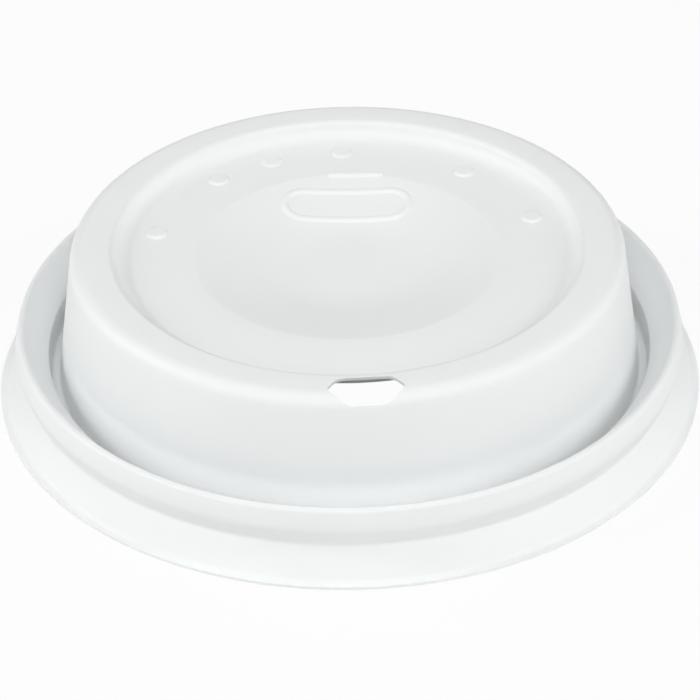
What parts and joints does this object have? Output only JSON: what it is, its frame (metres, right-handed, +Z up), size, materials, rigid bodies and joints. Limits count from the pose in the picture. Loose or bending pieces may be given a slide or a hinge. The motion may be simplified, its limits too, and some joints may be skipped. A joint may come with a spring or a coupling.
{
  "type": "cup lid",
  "caption": "White thermoformed polystyrene sip-through dome lid for a hot drink cup, one piece, with a sip hole, a shallow well and a round dish on top.",
  "frame": {"origin": "on the lid's axis, in the plane of the foot flange that it stands on", "axes": "+Z up along the lid's axis, -Y towards the sip hole"},
  "size_m": [0.096, 0.096, 0.0215],
  "materials": {
    "polystyrene": "white thermoformed sheet with a soft gloss"
  },
  "bodies": {
    "root": {"cup_lid": "polystyrene"}
  },
  "joints": []
}
